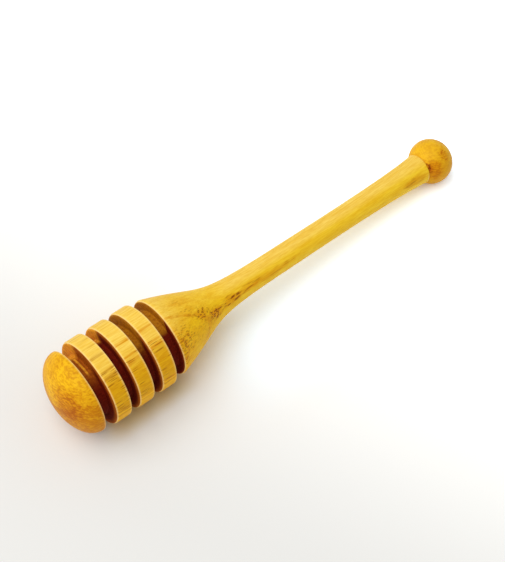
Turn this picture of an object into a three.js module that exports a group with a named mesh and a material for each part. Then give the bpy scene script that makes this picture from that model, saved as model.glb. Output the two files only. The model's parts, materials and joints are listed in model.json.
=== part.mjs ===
// A wooden honey dipper, lying on its side as it rests on a table: millimetres, +Z up, +X from the domed
// tip to the knob. The grooved head, the neck and the handle are turned from one blank. The handle ends in
// a round tenon, and the ball shaped knob is bored to sit on it. Both are solids of revolution on one axis.
import * as THREE from 'three';

// Grooved head, from the domed tip to the back of the last groove. The first and the last groove are the
// outer ones.
const domeLength = 7.8;
const domeRadius = 13.45;
const domeLand = 0.3;
const outerGrooveWidth = 3.6;
const innerGrooveWidth = 3.05;
const coreRadius = 9.8;
const finCount = 3;
const finWidth = 5.25;
const firstFinRadius = 13.95;
const lastFinRadius = 13.7;
const frontEdgeLength = 1;
const frontEdgeHeight = 0.8;
const backEdgeRound = 0.2;
const grooveFillet = 0.4;

// Neck and handle: an ogee from the shoulder down to the waist, then a slow flare to the knob.
const shoulderRadius = 12.85;
const shoulderFall = 0.31;
const shoulderShare = 0.45;
const neckLength = 49.05;
const waistRadius = 4.2;
const waistShare = 0.73;
const handleLength = 61.2;
const handleRunShare = 0.1;
const handleEndRadius = 5.3;
const flareRise = 0.13;
const flareShare = 0.2;
const handleEdgeRound = 0.2;

// Knob and its glued joint: a tenon in a blind bore, with the film of glue all round it.
const knobRadius = 7.75;
const knobHalfLength = 7.15;
const knobSeatRadius = 5.1;
const tenonRadius = 2.9;
const tenonLength = 8.2;
const tenonChamfer = 0.5;
const glueFilm = 0.3;

// Facets round the axis, and steps along each curve of the outline.
const facets = 48;
const domeSteps = 12;
const edgeSteps = 2;
const neckSteps = 16;
const handleSteps = 12;
const knobSeatSteps = 6;
const knobEndSteps = 10;

const quarterTurn = Math.PI / 2;
const apothemShare = Math.cos(Math.PI / facets);

// Places along the axis, counted from the tip of the dome.
const domeBack = domeLength + domeLand;
const pitch = finWidth + innerGrooveWidth;
const headLength = domeBack + 2 * outerGrooveWidth + finCount * pitch - innerGrooveWidth;
const waistAxial = headLength + neckLength;
const handleEnd = waistAxial + handleLength;
const knobSeat = handleEnd + glueFilm;
const knobCentre = knobSeat + knobHalfLength * Math.sqrt(1 - (knobSeatRadius / knobRadius) ** 2);

// A point of an outline: its distance from the axis, and its place along the axis.
function at(axial, radius) {
  return new THREE.Vector2(radius, axial);
}

// Points on an elliptic arc. Angles are quarter turns from the direction of the knob towards the rim.
function arc(axial, radius, halfLength, halfHeight, fromQuarters, toQuarters, steps) {
  const points = [];
  for (let step = 0; step <= steps; step += 1) {
    const angle = quarterTurn * (fromQuarters + ((toQuarters - fromQuarters) * step) / steps);
    points.push(at(axial + halfLength * Math.cos(angle), radius + halfHeight * Math.sin(angle)));
  }
  return points;
}

// The softened front edge of a fin or of the shoulder, where the groove's wall turns into the band.
function frontEdge(wall, radius) {
  return arc(wall + frontEdgeLength, radius - frontEdgeHeight, frontEdgeLength, frontEdgeHeight, 2, 1, edgeSteps);
}

// The crisp back edge of the dome or of a fin, just before the next groove.
function backEdge(wall, radius) {
  return arc(wall - backEdgeRound, radius - backEdgeRound, backEdgeRound, backEdgeRound, 1, 0, edgeSteps);
}

// The floor of a groove on the core, with a small fillet at the foot of each wall.
function grooveFloor(frontWall, backWall) {
  const rise = coreRadius + grooveFillet;
  return [
    ...arc(frontWall + grooveFillet, rise, grooveFillet, grooveFillet, 2, 3, edgeSteps),
    ...arc(backWall - grooveFillet, rise, grooveFillet, grooveFillet, 3, 4, edgeSteps),
  ];
}

// Each fin's front wall, back wall and radius. The fins get smaller from the dome to the neck.
const fins = [];
for (let index = 0; index < finCount; index += 1) {
  const front = domeBack + outerGrooveWidth + index * pitch;
  const share = finCount > 1 ? index / (finCount - 1) : 0;
  fins.push({ front, back: front + finWidth, radius: THREE.MathUtils.lerp(firstFinRadius, lastFinRadius, share) });
}

// The domed tip: half an ellipse with a short land behind it. Its first point lies on the axis.
function domeOutline() {
  const curve = arc(domeLength, 0, domeLength, domeRadius, 2, 1, domeSteps).slice(1);
  return [at(0, 0), ...curve, ...backEdge(domeBack, domeRadius)];
}

// Grooves and fins in turn, and the last groove before the shoulder.
function finsOutline() {
  const points = [];
  let wall = domeBack;
  for (const fin of fins) {
    points.push(...grooveFloor(wall, fin.front));
    points.push(...frontEdge(fin.front, fin.radius));
    points.push(...backEdge(fin.back, fin.radius));
    wall = fin.back;
  }
  return [...points, ...grooveFloor(wall, headLength)];
}

// The shoulder, the neck that falls to the waist, and the handle that flares to its end.
function handleOutline() {
  const shoulder = headLength + frontEdgeLength;
  const neck = waistAxial - shoulder;
  const shoulderRun = neck * shoulderShare;
  const neckCurve = new THREE.CubicBezierCurve(
    at(shoulder, shoulderRadius),
    at(shoulder + shoulderRun, shoulderRadius - shoulderRun * shoulderFall),
    at(waistAxial - neck * waistShare, waistRadius),
    at(waistAxial, waistRadius),
  );
  const flareEnd = handleEnd - handleEdgeRound;
  const handle = flareEnd - waistAxial;
  const flareRun = handle * flareShare;
  const handleCurve = new THREE.CubicBezierCurve(
    at(waistAxial, waistRadius),
    at(waistAxial + handle * handleRunShare, waistRadius),
    at(flareEnd - flareRun, handleEndRadius - flareRun * flareRise),
    at(flareEnd, handleEndRadius),
  );
  return [
    ...frontEdge(headLength, shoulderRadius).slice(0, -1),
    ...neckCurve.getPoints(neckSteps),
    ...handleCurve.getPoints(handleSteps).slice(1, -1),
    ...arc(flareEnd, handleEndRadius - handleEdgeRound, handleEdgeRound, handleEdgeRound, 1, 0, edgeSteps),
  ];
}

// The tenon behind the handle's square end, with a chamfer that leads it into the bore.
function tenonOutline() {
  const tenonEnd = handleEnd + tenonLength;
  return [
    at(handleEnd, tenonRadius),
    at(tenonEnd - tenonChamfer, tenonRadius),
    at(tenonEnd, tenonRadius - tenonChamfer),
    at(tenonEnd, 0),
  ];
}

// The knob: a blind bore for the tenon, a flat seat against the handle, and a ball a little shorter than
// it is wide, with a ring of points on its widest circle.
function knobOutline() {
  const boreRadius = tenonRadius + glueFilm;
  const boreEnd = handleEnd + tenonLength + glueFilm;
  const seatQuarters = 1 + Math.acos(knobSeatRadius / knobRadius) / quarterTurn;
  return [
    at(boreEnd, 0),
    at(boreEnd, boreRadius),
    at(knobSeat, boreRadius),
    ...arc(knobCentre, 0, knobHalfLength, knobRadius, seatQuarters, 1, knobSeatSteps),
    ...arc(knobCentre, 0, knobHalfLength, knobRadius, 1, 0, knobEndSteps).slice(1, -1),
    at(knobCentre + knobHalfLength, 0),
  ];
}

// Turns an outline about the axis, along +X, with one facet facing straight down.
function turned(name, outline, colour, roughness) {
  const geometry = new THREE.LatheGeometry(outline, facets, Math.PI / facets, 2 * Math.PI);
  geometry.rotateZ(-quarterTurn);
  const material = new THREE.MeshStandardMaterial({ color: colour, roughness, metalness: 0 });
  const mesh = new THREE.Mesh(geometry, material);
  mesh.name = name;
  return mesh;
}

// The dipper lies on one rim of its head and on the widest ring of the knob, so its axis falls towards
// the knob. The steepest line from a rim to the knob is the one that touches the table.
function lyingTilt() {
  const rims = [{ back: domeBack, radius: domeRadius }, ...fins];
  const slopes = rims.map((rim) => {
    const drop = (rim.radius - knobRadius) * apothemShare;
    return Math.atan2(drop, knobCentre - (rim.back - backEdgeRound));
  });
  return Math.max(...slopes);
}

const dipperBody = turned(
  'dipper_body',
  [...domeOutline(), ...finsOutline(), ...handleOutline(), ...tenonOutline()],
  '#dfab3a',
  0.42,
);
const endKnob = turned('end_knob', knobOutline(), '#dc9f26', 0.45);

const dipper = new THREE.Group();
dipper.add(dipperBody, endKnob);
dipper.rotation.y = lyingTilt();

// The origin is on the table, under the middle of the dipper.
dipper.updateMatrixWorld(true);
const reach = new THREE.Box3().setFromObject(dipper, true);
const middle = reach.getCenter(new THREE.Vector3());
dipper.position.set(-middle.x, -middle.y, -reach.min.z);

export default dipper;
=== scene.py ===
"""A turned wooden honey dipper lying on a pale table, in satin oiled yellow wood."""

import json
import math

import bmesh
import bpy
from mathutils import Matrix, Vector
from mathutils.geometry import interpolate_bezier


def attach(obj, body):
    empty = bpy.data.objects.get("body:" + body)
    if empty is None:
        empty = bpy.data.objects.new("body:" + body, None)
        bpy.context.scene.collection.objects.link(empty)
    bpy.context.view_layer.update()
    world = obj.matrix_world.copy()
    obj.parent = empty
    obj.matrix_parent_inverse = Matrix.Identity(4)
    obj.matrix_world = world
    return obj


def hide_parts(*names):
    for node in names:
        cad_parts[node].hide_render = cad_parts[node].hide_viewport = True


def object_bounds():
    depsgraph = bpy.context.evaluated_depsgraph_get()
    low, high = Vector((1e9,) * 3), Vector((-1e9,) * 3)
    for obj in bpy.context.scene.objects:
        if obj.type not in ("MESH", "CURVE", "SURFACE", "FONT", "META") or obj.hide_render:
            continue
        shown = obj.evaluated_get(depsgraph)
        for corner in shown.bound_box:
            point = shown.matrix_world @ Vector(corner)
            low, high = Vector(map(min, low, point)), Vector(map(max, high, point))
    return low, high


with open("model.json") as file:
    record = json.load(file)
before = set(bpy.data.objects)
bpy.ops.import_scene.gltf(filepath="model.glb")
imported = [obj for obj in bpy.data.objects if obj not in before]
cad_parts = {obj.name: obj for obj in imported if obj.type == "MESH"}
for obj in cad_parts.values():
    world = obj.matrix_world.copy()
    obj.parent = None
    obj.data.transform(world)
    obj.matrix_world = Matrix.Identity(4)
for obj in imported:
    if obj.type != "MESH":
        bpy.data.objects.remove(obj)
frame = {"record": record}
cad_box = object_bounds()

# Sizes of the dipper, in millimetres along and from the turned axis, the same as those of the frame's solids.
MM = 0.001
DOME_LENGTH = 7.8
DOME_RADIUS = 13.45
DOME_LAND = 0.3
OUTER_GROOVE_WIDTH = 3.6
INNER_GROOVE_WIDTH = 3.05
CORE_RADIUS = 9.8
FIN_COUNT = 3
FIN_WIDTH = 5.25
FIRST_FIN_RADIUS = 13.95
LAST_FIN_RADIUS = 13.7
FRONT_EDGE_LENGTH = 1.0
FRONT_EDGE_HEIGHT = 0.8
BACK_EDGE_ROUND = 0.2
GROOVE_FILLET = 0.4
SHOULDER_RADIUS = 12.85
SHOULDER_FALL = 0.31
SHOULDER_SHARE = 0.45
NECK_LENGTH = 49.05
WAIST_RADIUS = 4.2
WAIST_SHARE = 0.73
HANDLE_LENGTH = 61.2
HANDLE_RUN_SHARE = 0.1
HANDLE_END_RADIUS = 5.3
FLARE_RISE = 0.13
FLARE_SHARE = 0.2
HANDLE_EDGE_ROUND = 0.2
KNOB_RADIUS = 7.75
KNOB_HALF_LENGTH = 7.15
KNOB_SEAT_RADIUS = 5.1
TENON_RADIUS = 2.9
TENON_LENGTH = 8.2
TENON_CHAMFER = 0.5
GLUE_FILM = 0.3

# The ball's seat is drawn nearer to the handle's end than in the solids: this thin gap is left for the glue.
GLUE_LINE = 0.05

# The solids have 48 flats. The finer surface is as wide as across those flats, less what sanding takes off.
SOLID_FLATS = 48
ACROSS_FLATS_SHARE = math.cos(math.pi / SOLID_FLATS)
SANDED_OFF = 0.01

# How far the painted highlight on an edge reaches from it, and how far below the top of a groove's far wall its
# dark colour, partly painted shade, ends.
RIM_REACH = 0.45
GROOVE_DARK_DROP = 0.25

# How finely the outline is stepped, how close to each edge a point holds it, how many steps the curves have and how
# many go round the axis, and how close two points are that become one. Lengths are in millimetres.
FINE_STEP = 0.45
LONG_STEP = 1.0
EDGE_SUPPORT = 0.06
DOME_STEPS = 40
SOFT_EDGE_STEPS = 8
CRISP_EDGE_STEPS = 4
BALL_FRONT_STEPS = 20
BALL_BACK_STEPS = 40
TURN_STEPS = 240
WELD_DISTANCE = 1e-5

# Places along the axis, counted from the tip of the dome.
DOME_BACK = DOME_LENGTH + DOME_LAND
PITCH = FIN_WIDTH + INNER_GROOVE_WIDTH
HEAD_LENGTH = DOME_BACK + 2 * OUTER_GROOVE_WIDTH + FIN_COUNT * PITCH - INNER_GROOVE_WIDTH
WAIST = HEAD_LENGTH + NECK_LENGTH
HANDLE_END = WAIST + HANDLE_LENGTH
KNOB_SEAT = HANDLE_END + GLUE_FILM
KNOB_CENTRE = KNOB_SEAT + KNOB_HALF_LENGTH * math.sqrt(1 - (KNOB_SEAT_RADIUS / KNOB_RADIUS) ** 2)

# The camera of the photo: where it stands and looks, in millimetres, its roll in radians, its focal length in pixels
# for a picture of this height, its sensor's width in millimetres, and from how near it sees, in metres.
CAMERA_PLACE = (-146.604, -163.380, 317.033)
CAMERA_AIM = (-6.238, -0.249, 10.0)
CAMERA_ROLL = 0.00936
FOCAL_PIXELS = 1200
PICTURE_HEIGHT_PIXELS = 562
SENSOR_WIDTH = 36
NEAR_CLIP = 0.01


# Outlines of the turned pieces

def arc(axial, radius, half_length, half_height, from_quarters, to_quarters, steps):
    """Points on an elliptic arc, by quarter turns from the direction of the knob towards the rim."""
    points = []
    for step in range(steps + 1):
        angle = math.pi / 2 * (from_quarters + (to_quarters - from_quarters) * step / steps)
        points.append((axial + half_length * math.cos(angle), radius + half_height * math.sin(angle)))
    return points


def straight(start, end):
    """Points between two ends of a straight stretch, with one close to each end to hold the edge there."""
    start, end = Vector(start), Vector(end)
    length = (end - start).length
    if length < 4 * EDGE_SUPPORT:
        return []
    inner_start = start.lerp(end, EDGE_SUPPORT / length)
    inner_end = end.lerp(start, EDGE_SUPPORT / length)
    steps = max(1, math.ceil((length - 2 * EDGE_SUPPORT) / FINE_STEP))
    return [tuple(inner_start.lerp(inner_end, step / steps)) for step in range(steps + 1)]


def join_stretches(stretches):
    """One outline from curved stretches, with straight runs between them."""
    points = list(stretches[0])
    for stretch in stretches[1:]:
        points += straight(points[-1], stretch[0])
        points += stretch
    return points


def fin_sizes():
    """Each fin's front wall, back wall and radius. The fins get smaller from the dome to the neck."""
    fins = []
    for index in range(FIN_COUNT):
        front = DOME_BACK + OUTER_GROOVE_WIDTH + index * PITCH
        radius = FIRST_FIN_RADIUS + (LAST_FIN_RADIUS - FIRST_FIN_RADIUS) * index / (FIN_COUNT - 1)
        fins.append((front, front + FIN_WIDTH, radius))
    return fins


def front_edge(wall, radius):
    """The softened front edge of a fin or of the shoulder."""
    return arc(
        wall + FRONT_EDGE_LENGTH, radius - FRONT_EDGE_HEIGHT, FRONT_EDGE_LENGTH, FRONT_EDGE_HEIGHT, 2, 1,
        SOFT_EDGE_STEPS,
    )


def back_edge(wall, radius, rounding=BACK_EDGE_ROUND):
    """The crisp back edge of the dome, of a fin or of the handle."""
    return arc(wall - rounding, radius - rounding, rounding, rounding, 1, 0, CRISP_EDGE_STEPS)


def groove_floor(front_wall, back_wall):
    """The floor of a groove, with a small fillet at the foot of each wall."""
    rise = CORE_RADIUS + GROOVE_FILLET
    feet = ((front_wall + GROOVE_FILLET, 2), (back_wall - GROOVE_FILLET, 3))
    return [
        arc(place, rise, GROOVE_FILLET, GROOVE_FILLET, quarters, quarters + 1, CRISP_EDGE_STEPS)
        for place, quarters in feet
    ]


def head_stretches():
    """The dome, then each groove and fin, and the last groove before the shoulder."""
    dome = arc(DOME_LENGTH, 0, DOME_LENGTH - SANDED_OFF, DOME_RADIUS, 2, 1, DOME_STEPS)
    stretches = [dome, back_edge(DOME_BACK, DOME_RADIUS)]
    wall = DOME_BACK
    for front, back, radius in fin_sizes():
        stretches += groove_floor(wall, front)
        stretches += [front_edge(front, radius), back_edge(back, radius)]
        wall = back
    return stretches + groove_floor(wall, HEAD_LENGTH)


def bezier(start, start_pull, end_pull, end, steps):
    """Points on a cubic curve from start to end."""
    knots = [Vector((axial, radius, 0)) for axial, radius in (start, start_pull, end_pull, end)]
    return [tuple(point[:2]) for point in interpolate_bezier(*knots, steps + 1)]


def neck_and_handle():
    """The ogee from the shoulder to the waist, then the slow flare of the handle to its square end."""
    shoulder = HEAD_LENGTH + FRONT_EDGE_LENGTH
    neck = WAIST - shoulder
    shoulder_run = neck * SHOULDER_SHARE
    neck_curve = bezier(
        (shoulder, SHOULDER_RADIUS),
        (shoulder + shoulder_run, SHOULDER_RADIUS - shoulder_run * SHOULDER_FALL),
        (WAIST - neck * WAIST_SHARE, WAIST_RADIUS),
        (WAIST, WAIST_RADIUS),
        round(neck / LONG_STEP),
    )
    flare_end = HANDLE_END - HANDLE_EDGE_ROUND
    handle = flare_end - WAIST
    flare_run = handle * FLARE_SHARE
    handle_curve = bezier(
        (WAIST, WAIST_RADIUS),
        (WAIST + handle * HANDLE_RUN_SHARE, WAIST_RADIUS),
        (flare_end - flare_run, HANDLE_END_RADIUS - flare_run * FLARE_RISE),
        (flare_end, HANDLE_END_RADIUS),
        round(handle / LONG_STEP),
    )
    end_edge = back_edge(HANDLE_END, HANDLE_END_RADIUS, HANDLE_EDGE_ROUND)
    return front_edge(HEAD_LENGTH, SHOULDER_RADIUS)[:-1] + neck_curve + handle_curve[1:-1] + end_edge


def tenon():
    """The tenon behind the handle's square end, with its chamfer."""
    tenon_end = HANDLE_END + TENON_LENGTH
    return [
        (HANDLE_END, TENON_RADIUS),
        (tenon_end - TENON_CHAMFER, TENON_RADIUS),
        (tenon_end, TENON_RADIUS - TENON_CHAMFER),
        (tenon_end, 0),
    ]


def body_outline():
    """The whole outline of the dipper's body, from the tip of the dome to the end of the tenon."""
    return join_stretches(head_stretches() + [neck_and_handle(), tenon()])


def knob_outline():
    """The ball with its blind bore, its seat against the handle's end, and its widest ring."""
    bore_radius = TENON_RADIUS + GLUE_FILM
    bore_end = HANDLE_END + TENON_LENGTH + GLUE_FILM
    seat = HANDLE_END + GLUE_LINE
    seat_quarters = 2 - math.acos((KNOB_CENTRE - seat) / KNOB_HALF_LENGTH) / (math.pi / 2)
    front = arc(KNOB_CENTRE, 0, KNOB_HALF_LENGTH, KNOB_RADIUS, seat_quarters, 1, BALL_FRONT_STEPS)
    back = arc(KNOB_CENTRE, 0, KNOB_HALF_LENGTH - SANDED_OFF, KNOB_RADIUS, 1, 0, BALL_BACK_STEPS)
    bore = [(bore_end, 0), (bore_end, bore_radius), (seat, bore_radius)]
    return join_stretches([bore, front + back[1:]])


# Turning and laying down

def turned_radius(radius):
    """The radius of the finer surface, which stays within the flats of the solid."""
    return max(0, radius * ACROSS_FLATS_SHARE - SANDED_OFF)


def turn_on_lathe(name, outline):
    """Spins an outline of axial and radius pairs about +X into a closed mesh in millimetres."""
    work = bmesh.new()
    points = [work.verts.new((axial, 0, turned_radius(radius))) for axial, radius in outline]
    edges = [work.edges.new(pair) for pair in zip(points, points[1:])]
    bmesh.ops.spin(
        work, geom=points + edges, cent=(0, 0, 0), axis=(1, 0, 0), angle=2 * math.pi,
        steps=TURN_STEPS, use_merge=True,
    )
    bmesh.ops.remove_doubles(work, verts=work.verts, dist=WELD_DISTANCE)
    bmesh.ops.recalc_face_normals(work, faces=work.faces)
    mark_cuts(work)
    mesh = bpy.data.meshes.new(name)
    work.to_mesh(mesh)
    work.free()
    for face in mesh.polygons:
        face.use_smooth = True
    piece = bpy.data.objects.new(name, mesh)
    bpy.context.scene.collection.objects.link(piece)
    return piece


def groove_walls():
    """Where each groove starts and ends, and how far up its two walls its dark colour reaches."""
    fins = fin_sizes()
    fronts = [(DOME_BACK, DOME_RADIUS)] + [(back, radius) for front, back, radius in fins]
    backs = [(front, radius) for front, back, radius in fins] + [(HEAD_LENGTH, SHOULDER_RADIUS)]
    return [
        (start, end, start_radius - BACK_EDGE_ROUND, end_radius - GROOVE_DARK_DROP)
        for (start, start_radius), (end, end_radius) in zip(fronts, backs)
    ]


def cut_by_groove(axial, radius, walls):
    """1 on the floor and the walls of a groove and up the foot of the soft edge, and 0 on the bands."""
    for start, end, start_top, end_top in walls:
        if start - EDGE_SUPPORT / 2 < axial < end + FRONT_EDGE_LENGTH:
            top = start_top if axial < (start + end) / 2 else end_top
            return 1 if radius < top - EDGE_SUPPORT / 2 else 0
    return 0


def rim_highlight(axial, radius, walls):
    """1 where a highlight is painted: on the edges that the grooves leave and on the handle's end, falling to 0 a
    little way off.
    """
    nearest = min(RIM_REACH, math.dist((axial, radius), (HANDLE_END, HANDLE_END_RADIUS)))
    for start, end, start_top, end_top in walls:
        nearest = min(nearest, math.dist((axial, radius), (start, start_top + BACK_EDGE_ROUND)))
        nearest = min(nearest, math.dist((axial, radius), (end + GROOVE_DARK_DROP, end_top)))
    return 1 - nearest / RIM_REACH


def mark_cuts(work):
    """Stores how each point faces along the grain, what the grooves cut, and the edges that they leave."""
    layers = [work.verts.layers.float.new(name) for name in ("end_grain", "groove", "rim")]
    walls = groove_walls()
    marks = {}
    work.normal_update()
    for vert in work.verts:
        radius = (math.hypot(vert.co.y, vert.co.z) + SANDED_OFF) / ACROSS_FLATS_SHARE
        spot = (round(vert.co.x, 3), round(radius, 3))
        if spot not in marks:
            cut = cut_by_groove(*spot, walls)
            marks[spot] = (cut, rim_highlight(*spot, walls) * (1 - cut))
        for layer, value in zip(layers, (abs(vert.normal.x), *marks[spot])):
            vert[layer] = value


def lying_tilt():
    """How far the turned axis falls towards the knob: the frame's rest face looks square to that axis."""
    rest = next(mount for mount in frame["record"]["mounts"] if mount["name"] == "rest_band")
    return math.asin(-rest["axis"][0])


def lay_on_table(pieces):
    """Turns the meshes to lie as the solids do, and returns the matrix from the axis to the table."""
    turned = Matrix.Rotation(lying_tilt(), 4, "Y") @ Matrix.Scale(MM, 4)
    corners = [turned @ vert.co for piece in pieces for vert in piece.data.vertices]
    low = Vector([min(corner[axis] for corner in corners) for axis in range(3)])
    high = Vector([max(corner[axis] for corner in corners) for axis in range(3)])
    cad_low, cad_high = cad_box
    shift = (cad_low + cad_high) / 2 - (low + high) / 2
    shift.z = cad_low.z - low.z
    laid = Matrix.Translation(shift) @ turned
    for piece in pieces:
        piece.data.transform(laid)
    return laid


# Shader helpers

def add(tree, kind, **settings):
    """A new node with its plain settings."""
    node = tree.nodes.new(kind)
    for key, value in settings.items():
        setattr(node, key, value)
    return node


def feed(tree, socket, value):
    """Links an output to a socket, or sets the socket's value."""
    if isinstance(value, bpy.types.NodeSocket):
        tree.links.new(value, socket)
    else:
        socket.default_value = value


def maths(tree, operation, *values, clamp=False):
    """A Math node's output."""
    node = add(tree, "ShaderNodeMath", operation=operation, use_clamp=clamp)
    for socket, value in zip(node.inputs, values):
        feed(tree, socket, value)
    return node.outputs[0]


def product(tree, first, *others):
    """Values multiplied together."""
    for other in others:
        first = maths(tree, "MULTIPLY", first, other)
    return first


def inverse(tree, share):
    """What a share leaves of 1."""
    return maths(tree, "SUBTRACT", 1.0, share)


def vector_maths(tree, operation, *values):
    """A Vector Math node's output: a value for a length or a dot product, and a vector for the rest."""
    node = add(tree, "ShaderNodeVectorMath", operation=operation)
    for socket, value in zip(node.inputs, values):
        feed(tree, socket, value)
    return node.outputs[1] if operation in ("LENGTH", "DOT_PRODUCT") else node.outputs[0]


def axis_parts(tree, place):
    """The three parts of a place, one for each axis."""
    split = add(tree, "ShaderNodeSeparateXYZ")
    feed(tree, split.inputs[0], place)
    return split.outputs


def ramp(tree, value, low, high, to_low=0.0, to_high=1.0):
    """A value carried smoothly from one range to another."""
    node = add(tree, "ShaderNodeMapRange", interpolation_type="SMOOTHSTEP")
    for name, number in (("From Min", low), ("From Max", high), ("To Min", to_low), ("To Max", to_high)):
        feed(tree, node.inputs[name], number)
    feed(tree, node.inputs["Value"], value)
    return node.outputs["Result"]


def blend_colours(tree, share, first, second, kind="MIX"):
    """Two colours mixed by a share."""
    node = add(tree, "ShaderNodeMix", data_type="RGBA", blend_type=kind)
    for socket, value in zip((node.inputs[0], node.inputs[6], node.inputs[7]), (share, first, second)):
        feed(tree, socket, value)
    return node.outputs[2]


def tinted(tree, share, colour, tint):
    """A colour multiplied by a tint, as far as the share says."""
    return blend_colours(tree, share, colour, tint, "MULTIPLY")


def noise(tree, place, stretch, detail, rough):
    """A noise value on places stretched by a number for each direction, per millimetre."""
    node = add(tree, "ShaderNodeTexNoise", noise_dimensions="3D")
    feed(tree, node.inputs["Vector"], vector_maths(tree, "MULTIPLY", place, stretch))
    for name, value in (("Scale", 1.0), ("Detail", detail), ("Roughness", rough)):
        feed(tree, node.inputs[name], value)
    return node.outputs[0]


def new_group(name, inputs, outputs):
    """An empty shader group with named sockets. Returns the group, its input node and its output node."""
    group = bpy.data.node_groups.new(name, "ShaderNodeTree")
    for label, kind, value in inputs:
        socket = group.interface.new_socket(label, in_out="INPUT", socket_type=kind)
        if value is not None:
            socket.default_value = value
    for label, kind in outputs:
        group.interface.new_socket(label, in_out="OUTPUT", socket_type=kind)
    return group, group.nodes.new("NodeGroupInput"), group.nodes.new("NodeGroupOutput")


def place_group(tree, group, **values):
    """A group placed in a material or in another group, with values for its inputs."""
    node = add(tree, "ShaderNodeGroup", node_tree=group)
    for label, value in values.items():
        feed(tree, node.inputs[label], value)
    return node


# Wood colours, as linear red, green and blue. Each tint darkens what lies under it.
# The pale wood is a painted sheen on the side that faces the light.
PALE_SHEENED_WOOD = (0.97, 0.68, 0.125, 1)
GOLDEN_WOOD = (0.92, 0.52, 0.010, 1)
BRIGHT_GOLDEN_WOOD = (0.97, 0.655, 0.032, 1)
STREAK_TINT = (0.91, 0.79, 0.40, 1)
HAIR_TINT = (0.82, 0.69, 0.40, 1)
# Darker heartwood on the head's side towards the camera, partly painted shade.
HEART_AND_SHADE_TINT = (0.90, 0.88, 0.60, 1)
NECK_TINT = (1.0, 0.95, 0.35, 1)
RING_TINT = (0.80, 0.52, 0.06, 1)
FIRST_RING_TINT = (0.55, 0.36, 0.06, 1)
PORE_TINT = (0.52, 0.37, 0.08, 1)
STAIN_TINT = (0.36, 0.19, 0.04, 1)
HAZE_TINT = (0.86, 0.66, 0.22, 1)
BLOTCH_TINT = (0.70, 0.44, 0.12, 1)
END_GRAIN = (0.90, 0.50, 0.008, 1)
END_GRAIN_TINT = (0.62, 0.38, 0.10, 1)
# The groove colours are partly painted: amber and gold where light is painted on, rust and maroon for painted shade.
GROOVE_AMBER = (0.85, 0.37, 0.020, 1)
GROOVE_GOLD = (0.50, 0.185, 0.005, 1)
GROOVE_RUST = (0.40, 0.095, 0.004, 1)
GROOVE_MAROON = (0.17, 0.009, 0.001, 1)
GROOVE_SHADE = (0.55, 0.42, 0.40, 1)
# A pale highlight painted along the rims and on the handle's end.
PAINTED_RIM_HIGHLIGHT = (1.0, 0.75, 0.33, 1)

# How strongly each effect of the wood shows.
BROAD_STREAKS = 0.4
THIN_STREAKS = 0.45
HAIRS = 0.4
MORE_HAIRS_IN_HEART = 0.3
END_GRAIN_CLOUDS = 0.25
END_GRAIN_FLECKS = 0.5
# How dark the painted shade on the end grain's lower side is.
END_GRAIN_PAINTED_SHADE = 0.55
RINGS_ON_END_GRAIN = 0.1
RING_BREAKS = 0.5
SMALL_PORES = 0.75
PORES_SHOWN = 0.85
# How strongly the painted rim highlight shows.
RIM_HIGHLIGHT_SHOWN = 0.7
GROOVE_FLECKS = 0.6
WALL_END_GRAIN = 0.7
# How strongly the end grain's mottle and its painted shade show, on the body and on the knob.
BODY_DULLED = 1.0
KNOB_DULLED = 0.6
KNOB_END_GRAIN = 0.92

# Changes along the axis, in millimetres: each starts at its first place and is complete at its second. Where two
# more numbers follow, here and below, they are the values at those places, which otherwise are 0 and 1.
PAST_HEAD = (HEAD_LENGTH - 2.0, HEAD_LENGTH + 10.0)
NECK_FADES = (HEAD_LENGTH + 30.0, HEAD_LENGTH + 18.0)
ON_DOME = (DOME_BACK + 0.6, DOME_BACK + 0.3)
AT_HANDLE_END = (HANDLE_END - 2.0, HANDLE_END - 1.0)

# Changes across the rings, in millimetres towards the side that the camera sees.
INTO_HEART_AND_SHADE = (12.2, 13.2)
NECK_RINGS_FADE = (8.5, 11.0, 0.4, 1.0)
INTO_PORE_BAND = (11.2, 12.2)
OUT_OF_PORE_BAND = (13.6, 12.9, 0.25, 1.0)

# How far a place has to face the way from which light is painted on: for the painted sheen on the head and past
# the head, for the painted shade on end grain, and for the rim's painted highlight under the axis.
SHEEN_FROM = 0.25
SHEEN_FROM_PAST_HEAD = 0.5
SHEEN_FULL = 0.98
PAINTED_SHADE = (0.95, -0.1)
UNDERNEATH = (0.2, -0.3)

# Noise in the wood: how tight it is along the axis and across it, per millimetre, its detail and its roughness.
SLOW_WAVE = ((0.03, 0.05, 0.05), 1.0, 0.5)
QUICK_WAVE = ((0.09, 0.4, 0.4), 2.0, 0.5)
BROAD_FIBRE = ((0.05, 0.45, 0.45), 3.0, 0.6)
THIN_FIBRE = ((0.1, 1.4, 1.4), 2.0, 0.6)
FINE_FIBRE = ((0.35, 3.2, 3.2), 1.0, 0.6)
LEVEL_CLOUDS = ((0.22, 0.2, 0.4), 2.0, 0.6)
LEVEL_FLECKS = ((0.8, 0.8, 2.2), 2.0, 0.65)
RAGGED_EDGE = ((0.35, 1.1, 1.1), 2.0, 0.5)

# How far each wave moves the rings, in millimetres.
SLOW_DRIFT = 1.8
QUICK_DRIFT = 0.7

# A patch, as shares of its reach: how far noise moves its edge, and how far out it is still complete.
RAGGED_BY = 0.8
PATCH_FULL_AT = 0.35

# Growth rings: their places across the blank in millimetres, how dark each line is, and how wide.
RINGS = (
    (-9.1, 1.0, 0.5), (-2.6, 0.6, 0.4), (1.2, 0.3, 0.3), (4.9, 0.3, 0.35), (8.5, 1.0, 0.6), (11.7, 0.9, 0.2),
    (12.6, 1.0, 0.2),
)

# How far out the rings are drawn, how soft a line's edges are, and how dark a line is on its first side.
RING_REACH = 15.0
RING_EDGE = 0.12
RING_START_TONE = 0.7

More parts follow.
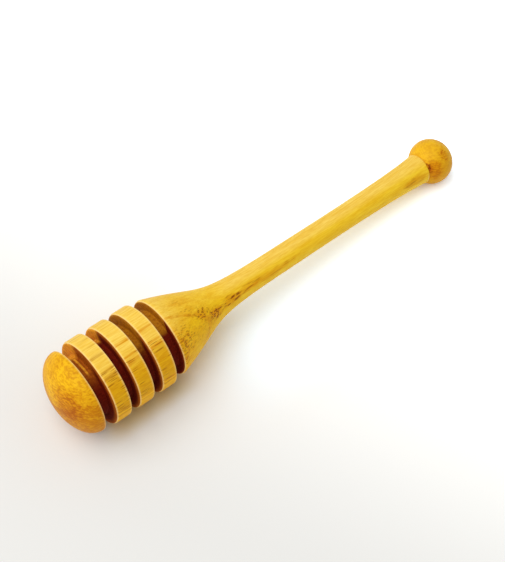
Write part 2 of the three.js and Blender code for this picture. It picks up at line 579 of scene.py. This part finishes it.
# Directions from the axis: square to the rings, along them and upwards, and towards the side that is painted paler
# as if lit from there. The last one leaves out the place along the axis.
ACROSS_RINGS = (0, -0.866, 0.5)
UP_RINGS = (0, 0.5, 0.866)
PAINTED_LIGHT_WAY = (0, 0.34, 0.94)
OFF_AXIS = (0, 1, 1)


def ring_stops():
    """Stops from 0 to 1 across the blank: a line at each ring, with a soft edge on both sides."""
    stops = []
    for where, tone, width in RINGS:
        for place, shade in (
            (where - width / 2 - 2 * RING_EDGE, 0.0), (where - width / 2, RING_START_TONE * tone),
            (where + width / 2, tone), (where + width / 2 + RING_EDGE, 0.0),
        ):
            stops.append((0.5 + 0.5 * place / RING_REACH, shade))
    return stops


def growth_rings_group():
    """Nearly flat rings across the blank, with a thin dark line at each."""
    group, into, out = new_group(
        "growth_rings",
        [("Place", "NodeSocketVector", None), ("Facing", "NodeSocketVector", ACROSS_RINGS),
         ("Wander", "NodeSocketFloat", 1.0)],
        [("Across", "NodeSocketFloat"), ("Ring", "NodeSocketFloat")],
    )
    place = into.outputs["Place"]
    across = vector_maths(group, "DOT_PRODUCT", place, into.outputs["Facing"])
    drift = maths(group, "MULTIPLY_ADD", noise(group, place, *SLOW_WAVE), SLOW_DRIFT, -SLOW_DRIFT / 2)
    ripple = maths(group, "MULTIPLY_ADD", noise(group, place, *QUICK_WAVE), QUICK_DRIFT, -QUICK_DRIFT / 2)
    moved = maths(group, "ADD", drift, ripple)
    across = maths(group, "MULTIPLY_ADD", moved, into.outputs["Wander"], across)
    rings = add(group, "ShaderNodeValToRGB")
    elements = rings.color_ramp.elements
    stops = ring_stops()
    while len(elements) < len(stops):
        elements.new(0.5)
    for element, (where, tone) in zip(elements, stops):
        element.position = where
        element.color = (tone, tone, tone, 1)
    feed(group, rings.inputs[0], maths(group, "MULTIPLY_ADD", across, 0.5 / RING_REACH, 0.5))
    feed(group, out.inputs["Across"], across)
    feed(group, out.inputs["Ring"], rings.outputs[0])
    return group


# How much of a pore's width is fully dark.
PORE_CORE = 0.6


def pores_group():
    """Short dark dashes along the grain, which show as dots on the end grain."""
    group, into, out = new_group(
        "pores",
        [("Place", "NodeSocketVector", None), ("Spacing", "NodeSocketFloat", 0.5),
         ("Length", "NodeSocketFloat", 3.0), ("Width", "NodeSocketFloat", 0.3),
         ("Share", "NodeSocketFloat", 0.5)],
        [("Pore", "NodeSocketFloat")],
    )
    across = maths(group, "DIVIDE", 1.0, into.outputs["Spacing"])
    along = maths(group, "DIVIDE", 1.0, into.outputs["Length"])
    stretch = add(group, "ShaderNodeCombineXYZ")
    for socket, value in zip(stretch.inputs, (along, across, across)):
        feed(group, socket, value)
    cells = add(group, "ShaderNodeTexVoronoi", feature="F1")
    feed(group, cells.inputs["Vector"], vector_maths(group, "MULTIPLY", into.outputs["Place"], stretch.outputs[0]))
    feed(group, cells.inputs["Scale"], 1.0)
    core = product(group, into.outputs["Width"], PORE_CORE)
    dot = ramp(group, cells.outputs["Distance"], into.outputs["Width"], core)
    draw = add(group, "ShaderNodeSeparateColor")
    feed(group, draw.inputs[0], cells.outputs["Color"])
    kept = maths(group, "LESS_THAN", draw.outputs[0], into.outputs["Share"])
    feed(group, out.inputs["Pore"], product(group, dot, kept))
    return group


def noise_masks_group(name, masks):
    """Masks from 0 to 1, one output for each: its label, its noise, and the noise values at 0 and at 1."""
    group, into, out = new_group(
        name, [("Place", "NodeSocketVector", None)], [(mask[0], "NodeSocketFloat") for mask in masks],
    )
    for label, grain, low, high in masks:
        feed(group, out.inputs[label], ramp(group, noise(group, into.outputs["Place"], *grain), low, high))
    return group


def fibre_group():
    """Streaks along the grain in a broad, a thin and a hair-fine scale."""
    return noise_masks_group("fibre", (
        ("Broad", BROAD_FIBRE, 0.34, 0.66), ("Thin", THIN_FIBRE, 0.38, 0.62), ("Fine", FINE_FIBRE, 0.36, 0.64),
    ))


def mottle_group():
    """Clouds and small flecks that oil leaves on end grain. They lie nearly level."""
    return noise_masks_group("mottle", (("Cloud", LEVEL_CLOUDS, 0.38, 0.62), ("Fleck", LEVEL_FLECKS, 0.4, 0.62)))


def patch_group():
    """How far a point is inside a ragged patch round a place on the wood, from 0 to 1."""
    group, into, out = new_group(
        "patch",
        [("Place", "NodeSocketVector", None), ("Centre", "NodeSocketVector", None),
         ("Reach", "NodeSocketVector", (1, 1, 1))],
        [("Inside", "NodeSocketFloat")],
    )
    offset = vector_maths(group, "SUBTRACT", into.outputs["Place"], into.outputs["Centre"])
    scaled = vector_maths(group, "DIVIDE", offset, into.outputs["Reach"])
    edge = noise(group, into.outputs["Place"], *RAGGED_EDGE)
    ragged = maths(group, "MULTIPLY_ADD", edge, RAGGED_BY, -RAGGED_BY / 2)
    distance = maths(group, "ADD", vector_maths(group, "LENGTH", scaled), ragged)
    feed(group, out.inputs["Inside"], ramp(group, distance, 1.0, PATCH_FULL_AT))
    return group


def upper_side_group():
    """How far a place faces the side that is painted paler as if lit from there, from 0 at Low to 1 at High."""
    group, into, out = new_group(
        "upper_side",
        [("Place", "NodeSocketVector", None), ("Painted Light Way", "NodeSocketVector", PAINTED_LIGHT_WAY),
         ("Low", "NodeSocketFloat", 0.25), ("High", "NodeSocketFloat", 0.95)],
        [("Upper", "NodeSocketFloat")],
    )
    outward = vector_maths(group, "MULTIPLY", into.outputs["Place"], OFF_AXIS)
    outward = vector_maths(group, "NORMALIZE", outward)
    facing = vector_maths(group, "DOT_PRODUCT", outward, into.outputs["Painted Light Way"])
    feed(group, out.inputs["Upper"], ramp(group, facing, into.outputs["Low"], into.outputs["High"]))
    return group


def facing_painted_light(tree, groups, place, low, high):
    """How far a place faces the side that is painted paler as if lit from there, from 0 at low to 1 at high."""
    return place_group(tree, groups["upper"], Place=place, Low=low, High=high).outputs["Upper"]


def side_grain(group, groups, place, past_head, heart_and_shade, fibre):
    """The colour of the wood's long sides, with a painted sheen making them paler above, and streaked along the
    grain.
    """
    paler_from = maths(group, "MULTIPLY_ADD", past_head, SHEEN_FROM_PAST_HEAD - SHEEN_FROM, SHEEN_FROM)
    # Painted sheen: the wood is paler on the side that faces the light.
    upper = facing_painted_light(group, groups, place, paler_from, SHEEN_FULL)
    golden = blend_colours(group, past_head, GOLDEN_WOOD, BRIGHT_GOLDEN_WOOD)
    colour = blend_colours(group, upper, golden, PALE_SHEENED_WOOD)
    thin = product(group, fibre["Thin"], THIN_STREAKS)
    colour = tinted(group, maths(group, "MULTIPLY_ADD", fibre["Broad"], BROAD_STREAKS, thin), colour, STREAK_TINT)
    # Darker heartwood towards the camera on the head, partly painted shade.
    colour = tinted(group, heart_and_shade, colour, HEART_AND_SHADE_TINT)
    along = axis_parts(group, place)[0]
    on_neck = product(group, past_head, ramp(group, along, *NECK_FADES))
    colour = tinted(group, on_neck, colour, NECK_TINT)
    hairs = maths(group, "MULTIPLY_ADD", heart_and_shade, MORE_HAIRS_IN_HEART, HAIRS)
    return tinted(group, product(group, fibre["Fine"], hairs), colour, HAIR_TINT)


def end_grain(group, groups, place, dulled):
    """The colour of the end grain, which oil soaks into: amber and mottled, with painted shade darkening its lower
    side.
    """
    mottle = place_group(group, groups["mottle"], Place=place).outputs
    flecks = product(group, mottle["Fleck"], END_GRAIN_FLECKS)
    dull = maths(group, "MULTIPLY_ADD", mottle["Cloud"], END_GRAIN_CLOUDS, flecks)
    painted_shade = facing_painted_light(group, groups, place, *PAINTED_SHADE)
    dull = maths(group, "MULTIPLY_ADD", painted_shade, END_GRAIN_PAINTED_SHADE, dull, clamp=True)
    return tinted(group, product(group, dull, dulled), END_GRAIN, END_GRAIN_TINT)


def yellow_wood_group(groups):
    """The oiled wood itself: its colour, its finest fibre, its small pores, and the place across the rings."""
    group, into, out = new_group(
        "yellow_wood",
        [("Place", "NodeSocketVector", None), ("Soaked", "NodeSocketFloat", 0.0),
         ("Dulled", "NodeSocketFloat", 1.0)],
        [("Colour", "NodeSocketColor"), ("Fine", "NodeSocketFloat"), ("Pores", "NodeSocketFloat"),
         ("Across", "NodeSocketFloat")],
    )
    place, soaked = into.outputs["Place"], into.outputs["Soaked"]
    along = axis_parts(group, place)[0]
    rings = place_group(group, groups["rings"], Place=place).outputs
    fibre = place_group(group, groups["fibre"], Place=place).outputs
    across = rings["Across"]
    past_head = ramp(group, along, *PAST_HEAD)
    on_head = inverse(group, past_head)
    # Where the head is darker towards the camera: heartwood, and partly painted shade.
    heart_and_shade = product(group, ramp(group, across, *INTO_HEART_AND_SHADE), on_head)
    long_grain = inverse(group, soaked)
    colour = side_grain(group, groups, place, past_head, heart_and_shade, fibre)
    colour = blend_colours(group, soaked, colour, end_grain(group, groups, place, into.outputs["Dulled"]))

    # Ring lines: broken by the fibre, fainter past the head and gone on the side of the neck that the camera sees,
    # and darkest on the dome and the first fin.
    broken = maths(group, "MULTIPLY_ADD", fibre["Thin"], RING_BREAKS, 1 - RING_BREAKS)
    faded = product(group, past_head, ramp(group, across, *NECK_RINGS_FADE))
    lined = maths(group, "MULTIPLY_ADD", long_grain, 1 - RINGS_ON_END_GRAIN, RINGS_ON_END_GRAIN)
    first_back = fin_sizes()[0][1]
    tone = blend_colours(group, ramp(group, along, first_back + 1.0, first_back), RING_TINT, FIRST_RING_TINT)
    lines = product(group, rings["Ring"], inverse(group, faded), lined, broken)
    colour = tinted(group, lines, colour, tone)

    band = product(group, ramp(group, across, *INTO_PORE_BAND), ramp(group, across, *OUT_OF_PORE_BAND))
    small = place_group(
        group, groups["pores"], Place=place, Spacing=0.32, Length=4.2, Width=0.46,
        Share=product(group, band, on_head, SMALL_PORES),
    )
    feed(group, out.inputs["Colour"], colour)
    feed(group, out.inputs["Fine"], fibre["Fine"])
    feed(group, out.inputs["Pores"], product(group, small.outputs["Pore"], long_grain))
    feed(group, out.inputs["Across"], across)
    return group


def stain_group(groups):
    """Dark dashes, blotches and a warm haze in a patch round one place, laid over a colour."""
    group, into, out = new_group(
        "stain",
        [("Colour", "NodeSocketColor", None), ("Place", "NodeSocketVector", None),
         ("Centre", "NodeSocketVector", None), ("Reach", "NodeSocketVector", (1, 1, 1)),
         ("Spacing", "NodeSocketFloat", 0.6), ("Length", "NodeSocketFloat", 1.5),
         ("Share", "NodeSocketFloat", 0.6), ("Strength", "NodeSocketFloat", 0.6),
         ("Blotch", "NodeSocketFloat", 0.0), ("Haze", "NodeSocketFloat", 0.5)],
        [("Colour", "NodeSocketColor")],
    )
    given = into.outputs
    place = given["Place"]
    patch = place_group(group, groups["patch"], Place=place, Centre=given["Centre"], Reach=given["Reach"])
    inside = patch.outputs["Inside"]
    dashes = place_group(
        group, groups["pores"], Place=place, Spacing=given["Spacing"], Length=given["Length"], Width=0.56,
        Share=given["Share"],
    )
    flecks = place_group(group, groups["mottle"], Place=place).outputs["Fleck"]
    colour = tinted(group, product(group, inside, given["Haze"]), given["Colour"], HAZE_TINT)
    colour = tinted(group, product(group, inside, flecks, given["Blotch"]), colour, BLOTCH_TINT)
    drawn = product(group, inside, dashes.outputs["Pore"], given["Strength"])
    feed(group, out.inputs["Colour"], tinted(group, drawn, colour, STAIN_TINT))
    return group


# The wood as laid on each piece

def stained(at, reach, spacing, length, share, strength, haze, blotch=0.0):
    """One stain's settings. It is at a place along the axis, a distance from it and an angle round it in degrees,
    where 90 is up and 180 is towards the camera's side, and it reaches some way along the axis and across it."""
    axial, radius, degrees = at
    angle = math.radians(degrees)
    along, across = reach
    return {
        "Centre": (axial, radius * math.cos(angle), radius * math.sin(angle)), "Reach": (along, across, across),
        "Spacing": spacing, "Length": length, "Share": share, "Strength": strength, "Haze": haze, "Blotch": blotch,
    }


def axis_place(tree, laid):
    """The place on the wood in millimetres along and across the turned axis."""
    coordinates = add(tree, "ShaderNodeTexCoord")
    turn = add(tree, "ShaderNodeMapping", vector_type="TEXTURE")
    feed(tree, turn.inputs["Vector"], coordinates.outputs["Object"])
    feed(tree, turn.inputs["Location"], laid.to_translation())
    feed(tree, turn.inputs["Rotation"], laid.to_euler())
    feed(tree, turn.inputs["Scale"], laid.to_scale())
    return turn.outputs["Vector"]


def stored(tree, name):
    """A value that the lathe work stored on the surface."""
    return add(tree, "ShaderNodeAttribute", attribute_name=name).outputs["Fac"]


def rim_highlight_share(tree, groups, place, along):
    """How far the painted pale highlight on the rims covers the wood. On the handle's end it shows only on the lower
    side.
    """
    under = facing_painted_light(tree, groups, place, *UNDERNEATH)
    no_highlight = product(tree, ramp(tree, along, *AT_HANDLE_END), inverse(tree, under))
    return product(tree, stored(tree, "rim"), maths(tree, "MULTIPLY_ADD", no_highlight, -RIM_HIGHLIGHT_SHOWN, RIM_HIGHLIGHT_SHOWN))


# Satin finish: how rough the oiled wood is, how much its fibre and the grooves add, and how it glints.
ROUGHNESS = 0.42
FIBRE_ROUGHNESS = 0.1
GROOVE_ROUGHNESS = 0.3
SPECULAR_LEVEL = 0.08

# Bump: its strength, its depth in millimetres, and the share of it that the fibre has beside the pores.
BUMP_STRENGTH = 0.3
BUMP_DEPTH = 0.1
FIBRE_HEIGHT = 0.3

# Where a surface faces along the axis enough to show end grain.
CUT_ACROSS = (0.45, 0.95, 0.0, WALL_END_GRAIN)


def oiled_wood(name, laid, groups, stains, grooved):
    """Satin oiled yellow wood with rings, pores and fibre, darker in the grooves and on the end grain, partly as
    painted shade, with a painted sheen above and a painted highlight on the rims.
    """
    material = bpy.data.materials.new(name)
    material.use_nodes = True
    tree = material.node_tree
    shader = tree.nodes["Principled BSDF"]
    place = axis_place(tree, laid)
    along = axis_parts(tree, place)[0]
    soaked, dulled = KNOB_END_GRAIN, KNOB_DULLED
    if grooved:
        cut_across = ramp(tree, stored(tree, "end_grain"), *CUT_ACROSS)
        soaked, dulled = maths(tree, "MAXIMUM", ramp(tree, along, *ON_DOME), cut_across), BODY_DULLED
    wood = place_group(tree, groups["wood"], Place=place, Soaked=soaked, Dulled=dulled).outputs
    colour, pores = wood["Colour"], wood["Pores"]
    roughness = maths(tree, "MULTIPLY_ADD", wood["Fine"], FIBRE_ROUGHNESS, ROUGHNESS)
    if grooved:
        in_groove = stored(tree, "groove")
        # The grooves' colour, with painted light above and painted shade deep down.
        dark = groove_colour(tree, groups, place, along, wood["Across"])
        colour = blend_colours(tree, in_groove, colour, dark)
        # A painted pale highlight along the rims.
        colour = blend_colours(tree, rim_highlight_share(tree, groups, place, along), colour, PAINTED_RIM_HIGHLIGHT)
        pores = product(tree, pores, inverse(tree, in_groove))
        roughness = maths(tree, "MULTIPLY_ADD", in_groove, GROOVE_ROUGHNESS, roughness)
    colour = tinted(tree, product(tree, pores, PORES_SHOWN), colour, PORE_TINT)
    for stain in stains:
        colour = place_group(tree, groups["stain"], Colour=colour, Place=place, **stain).outputs["Colour"]
    feed(tree, shader.inputs["Base Color"], colour)
    feed(tree, shader.inputs["Roughness"], roughness)
    shader.inputs["Specular IOR Level"].default_value = SPECULAR_LEVEL
    height = maths(tree, "MULTIPLY_ADD", pores, -1.0, product(tree, wood["Fine"], FIBRE_HEIGHT))
    bump = add(tree, "ShaderNodeBump")
    bump.inputs["Strength"].default_value = BUMP_STRENGTH
    bump.inputs["Distance"].default_value = BUMP_DEPTH * MM
    feed(tree, bump.inputs["Height"], height)
    feed(tree, shader.inputs["Normal"], bump.outputs["Normal"])
    return material


# The warm upper part of the grooves, painted light where the lamp reaches in, in millimetres: how far it reaches
# across the rings, in most grooves and in the second, and how softly it ends there, in most and in the last.
WARM_REACH = 8.4
SECOND_WARM_REACH = -0.2
WARM_SOFTNESS = 1.6
LAST_WARM_SOFTNESS = 0.4

# Where a groove counts as above the axis, how far before a fin's back the next groove's colours start, where its
# walls turn from the maroon of painted shade to rust, and where the amber far side of the first two grooves, a
# painted lit wall, starts, in millimetres.
ABOVE_AXIS = (0.0, 2.0)
GROOVE_TO_GROOVE = 0.5
UP_THE_WALL = (CORE_RADIUS + 2.0, CORE_RADIUS + 3.4)
FAR_SIDE = (1.5, -1.5)

# A painted lit strip of amber in the first groove, by its distance before the first fin and its place across the
# rings.
STRIP_STARTS = (1.7, 1.4)
STRIP_ENDS = (0.8, 1.1)
STRIP_ACROSS = (7.8, 6.4)


def groove_colour(tree, groups, place, along, across):
    """The grooves are darker wood with painted light and shade on it. The upper part, painted as lit, is rust and
    amber in the first two, and gold in the others. The lower part, painted shade, goes from maroon on the floor to
    rust near the rims. The first groove also has a painted lit strip of amber."""
    outward = vector_maths(tree, "LENGTH", vector_maths(tree, "MULTIPLY", place, OFF_AXIS))
    above = ramp(tree, vector_maths(tree, "DOT_PRODUCT", place, UP_RINGS), *ABOVE_AXIS)
    fins = fin_sizes()
    past_first, past_second, past_third = (
        ramp(tree, along, back - GROOVE_TO_GROOVE, back) for front, back, radius in fins
    )
    second = maths(tree, "SUBTRACT", past_first, past_second)
    limit = maths(tree, "MULTIPLY_ADD", second, SECOND_WARM_REACH - WARM_REACH, WARM_REACH)
    softness = maths(tree, "MULTIPLY_ADD", past_third, LAST_WARM_SOFTNESS - WARM_SOFTNESS, WARM_SOFTNESS)
    beyond = ramp(tree, maths(tree, "SUBTRACT", across, limit), softness, product(tree, softness, -1.0))
    below = blend_colours(tree, ramp(tree, outward, *UP_THE_WALL), GROOVE_MAROON, GROOVE_RUST)
    warm = blend_colours(tree, past_second, GROOVE_RUST, GROOVE_GOLD)
    far_side = maths(tree, "SUBTRACT", ramp(tree, across, *FAR_SIDE), past_second, clamp=True)
    warm = blend_colours(tree, far_side, warm, GROOVE_AMBER)
    starts, ends = (
        ramp(tree, along, *(fins[0][0] - distance for distance in edge)) for edge in (STRIP_STARTS, STRIP_ENDS)
    )
    strip = product(tree, starts, ends, ramp(tree, across, *STRIP_ACROSS))
    warm = blend_colours(tree, strip, warm, GROOVE_AMBER)
    colour = blend_colours(tree, product(tree, above, beyond), below, warm)
    flecks = place_group(tree, groups["mottle"], Place=place).outputs["Fleck"]
    return tinted(tree, product(tree, flecks, GROOVE_FLECKS), colour, GROOVE_SHADE)


# Table, light and camera

# The table's own colour, its half width in metres, and how matt it is.
TABLE_COLOUR = (0.92, 0.915, 0.885)
TABLE_HALF_WIDTH = 2.5
TABLE_ROUGHNESS = 0.9
TABLE_SPECULAR_LEVEL = 0.1

# How pale the table is seen, as shares of its own colour at two places in metres: along a direction to the right,
# and by the distance from the middle of the dipper. Towards the right it is painted light, which also lightens the
# shadows there.
RIGHTWARDS = (0.95, 0.3, 0)
PALER_RIGHTWARDS = (-0.085, 0.085, 0.87, 1.55)
PALER_FAR_OFF = (0.22, 0.9, 0.87, 2.3)

# Beside the handle the wood's own yellow light falls on the table, and the table is made to look cooler by as much.
# In metres: how far the shadow there lies towards the camera's side, how far across it the tint ends and is complete,
# and where along the dipper it starts and is complete.
BESIDE_HANDLE_TINT = (1.02, 1.14, 1.28, 1)
HANDLE_SHADOW_OFFSET = 0.006
HANDLE_SHADOW_ACROSS = (0.035, 0.008)
HANDLE_SHADOW_STARTS = (-0.045, -0.01)

# Close under the head the shadow is darker and warmer. In metres: how far across it the tint ends and is complete,
# and where along the dipper it starts, and ends, and is complete in between.
UNDER_HEAD_TINT = (0.82, 0.70, 0.43, 1)
HEAD_SHADOW_ACROSS = (0.016, 0.0095)
HEAD_SHADOW_STARTS = (-0.074, -0.062)
HEAD_SHADOW_ENDS = (-0.036, -0.046)


def seen_directly(tree):
    """1 where the camera, a reflection or glass looks at the surface, and 0 for the light it gives."""
    paths = add(tree, "ShaderNodeLightPath").outputs
    seen = maths(tree, "MAXIMUM", paths["Is Camera Ray"], paths["Is Glossy Ray"])
    return maths(tree, "MAXIMUM", seen, paths["Is Transmission Ray"])


def table_colour(tree, place, seen):
    """The table's colour, and where it is seen directly its painted paler parts and the painted tones of the shadow
    on it.
    """
    across = ramp(tree, vector_maths(tree, "DOT_PRODUCT", place, RIGHTWARDS), *PALER_RIGHTWARDS)
    far_off = ramp(tree, vector_maths(tree, "LENGTH", place), *PALER_FAR_OFF)
    paler = maths(tree, "SUBTRACT", maths(tree, "MAXIMUM", across, far_off), 1.0)
    colour = vector_maths(tree, "SCALE", TABLE_COLOUR)
    feed(tree, colour.node.inputs["Scale"], maths(tree, "MULTIPLY_ADD", seen, paler, 1.0))

    along, aside = axis_parts(tree, place)[:2]
    off_shadow = maths(tree, "ABSOLUTE", maths(tree, "ADD", aside, HANDLE_SHADOW_OFFSET))
    beside = product(
        tree, ramp(tree, off_shadow, *HANDLE_SHADOW_ACROSS), ramp(tree, along, *HANDLE_SHADOW_STARTS), seen,
    )
    under = product(
        tree, ramp(tree, maths(tree, "ABSOLUTE", aside), *HEAD_SHADOW_ACROSS),
        ramp(tree, along, *HEAD_SHADOW_STARTS), ramp(tree, along, *HEAD_SHADOW_ENDS), seen,
    )
    colour = tinted(tree, beside, colour, BESIDE_HANDLE_TINT)
    return tinted(tree, under, colour, UNDER_HEAD_TINT)


def pale_table():
    """A wide plain table top."""
    work = bmesh.new()
    bmesh.ops.create_grid(work, x_segments=1, y_segments=1, size=TABLE_HALF_WIDTH)
    mesh = bpy.data.meshes.new("table_top")
    work.to_mesh(mesh)
    work.free()
    table = bpy.data.objects.new("table_top", mesh)
    bpy.context.scene.collection.objects.link(table)
    material = bpy.data.materials.new("pale_table")
    material.use_nodes = True
    tree = material.node_tree
    shader = tree.nodes["Principled BSDF"]
    place = add(tree, "ShaderNodeTexCoord").outputs["Object"]
    feed(tree, shader.inputs["Base Color"], table_colour(tree, place, seen_directly(tree)))
    shader.inputs["Roughness"].default_value = TABLE_ROUGHNESS
    shader.inputs["Specular IOR Level"].default_value = TABLE_SPECULAR_LEVEL
    table.data.materials.append(material)


# The soft lamp, in metres and watts, and how much light the sky gives. Where it is seen directly it is white.
LAMP_PLACE = (-0.42, 0.12, 0.89)
LAMP_SIZE = 1.15
LAMP_WATTS = 8.5
SKY_LEVEL = 0.5


def studio_light():
    """A large square soft lamp overhead on the left, aimed at the origin, and an even pale sky."""
    lamp = bpy.data.lights.new("key_lamp", "AREA")
    lamp.shape = "SQUARE"
    lamp.size = LAMP_SIZE
    lamp.energy = LAMP_WATTS
    holder = bpy.data.objects.new("key_lamp", lamp)
    holder.location = LAMP_PLACE
    holder.rotation_euler = (-Vector(LAMP_PLACE)).to_track_quat("-Z", "Y").to_euler()
    bpy.context.scene.collection.objects.link(holder)
    world = bpy.data.worlds.new("pale_sky")
    bpy.context.scene.world = world
    world.use_nodes = True
    tree = world.node_tree
    background = tree.nodes["Background"].inputs
    background["Color"].default_value = (1, 1, 1, 1)
    strength = maths(tree, "MULTIPLY_ADD", seen_directly(tree), 1 - SKY_LEVEL, SKY_LEVEL)
    feed(tree, background["Strength"], strength)


def photo_camera():
    """The camera of the photo, which looks down at the dipper from the front left."""
    lens = bpy.data.cameras.new("photo_camera")
    lens.sensor_width = SENSOR_WIDTH
    lens.lens = FOCAL_PIXELS / PICTURE_HEIGHT_PIXELS * SENSOR_WIDTH
    lens.clip_start = NEAR_CLIP
    holder = bpy.data.objects.new("photo_camera", lens)
    place = Vector(CAMERA_PLACE) * MM
    look = (Vector(CAMERA_AIM) * MM - place).to_track_quat("-Z", "Y")
    holder.location = place
    holder.rotation_euler = (look.to_matrix() @ Matrix.Rotation(CAMERA_ROLL, 3, "Z")).to_euler()
    bpy.context.scene.collection.objects.link(holder)
    bpy.context.scene.camera = holder


# The dipper

photo_camera()
dipper_body = turn_on_lathe("turned_body", body_outline())
end_knob = turn_on_lathe("turned_knob", knob_outline())
laid = lay_on_table([dipper_body, end_knob])

effects = {
    "rings": growth_rings_group(),
    "pores": pores_group(),
    "fibre": fibre_group(),
    "mottle": mottle_group(),
    "patch": patch_group(),
    "upper": upper_side_group(),
}
effects["wood"] = yellow_wood_group(effects)
effects["stain"] = stain_group(effects)

# An amber haze on the dome's lower side, partly painted shade, the near side of the neck and its small dots behind
# the shoulder, the faint hairs on top, the dark streak from the neck into the handle, and the end of the handle.
body_stains = (
    stained(at=(1.2, 6.9, 137), reach=(3.6, 8.0), spacing=0.5, length=1.0, share=0.5, strength=0.1, haze=0.85,
            blotch=0.4),
    stained(at=(48.0, 9.4, 155), reach=(9.0, 4.8), spacing=0.45, length=1.6, share=0.7, strength=0.2, haze=0.4),
    stained(at=(40.8, 12.0, 141), reach=(6.0, 6.0), spacing=0.5, length=1.6, share=0.85, strength=0.5, haze=0.1),
    stained(at=(47.0, 10.4, 84), reach=(9.0, 2.6), spacing=0.4, length=4.0, share=0.4, strength=0.2, haze=0.5),
    stained(at=(45.5, 10.6, 108), reach=(7.0, 2.6), spacing=0.45, length=3.4, share=0.6, strength=0.4, haze=0.4),
    stained(at=(50.0, 8.6, 124), reach=(4.8, 2.8), spacing=0.45, length=2.2, share=0.9, strength=0.8, haze=0.5),
    stained(at=(55.0, 6.8, 145), reach=(4.8, 2.6), spacing=0.45, length=2.2, share=0.95, strength=1.0, haze=1.0,
            blotch=0.4),
    stained(at=(62.0, 5.0, 145), reach=(6.0, 2.0), spacing=0.42, length=2.8, share=0.95, strength=1.0, haze=1.0),
    stained(at=(69.5, 4.5, 142), reach=(6.5, 1.6), spacing=0.4, length=4.0, share=0.7, strength=0.5, haze=0.8),
    stained(at=(79.0, 4.3, 151), reach=(13.0, 1.6), spacing=0.4, length=6.0, share=0.5, strength=0.3, haze=0.8),
    stained(at=(141.5, 4.9, 156), reach=(7.0, 2.0), spacing=0.4, length=3.4, share=0.65, strength=0.4, haze=0.8),
)

# The ball: its middle, the amber patch by the handle's end on its lower side, partly painted shade, its far end, and
# the dark pits beside the handle.
knob_stains = (
    stained(at=(153.8, 7.7, 124), reach=(2.4, 3.0), spacing=0.6, length=1.6, share=0.5, strength=0.1, haze=0.6,
            blotch=0.8),
    stained(at=(149.0, 6.3, 150), reach=(3.6, 5.4), spacing=0.6, length=1.4, share=0.5, strength=0.1, haze=1.0,
            blotch=0.45),
    stained(at=(157.6, 5.0, 80), reach=(2.2, 3.6), spacing=0.5, length=1.2, share=0.6, strength=0.2, haze=0.6,
            blotch=0.5),
    stained(at=(147.7, 5.3, 138), reach=(1.6, 2.3), spacing=0.75, length=0.9, share=0.95, strength=0.8, haze=0.8,
            blotch=0.6),
)
dipper_body.data.materials.append(oiled_wood("body_wood", laid, effects, body_stains, grooved=True))
end_knob.data.materials.append(oiled_wood("knob_wood", laid, effects, knob_stains, grooved=False))
for piece, node, slot in ((dipper_body, "dipper_body", "body_wood"), (end_knob, "end_knob", "knob_wood")):
    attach(piece, "root")
    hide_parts(node)

pale_table()
studio_light()
bpy.context.scene.view_settings.view_transform = "Standard"
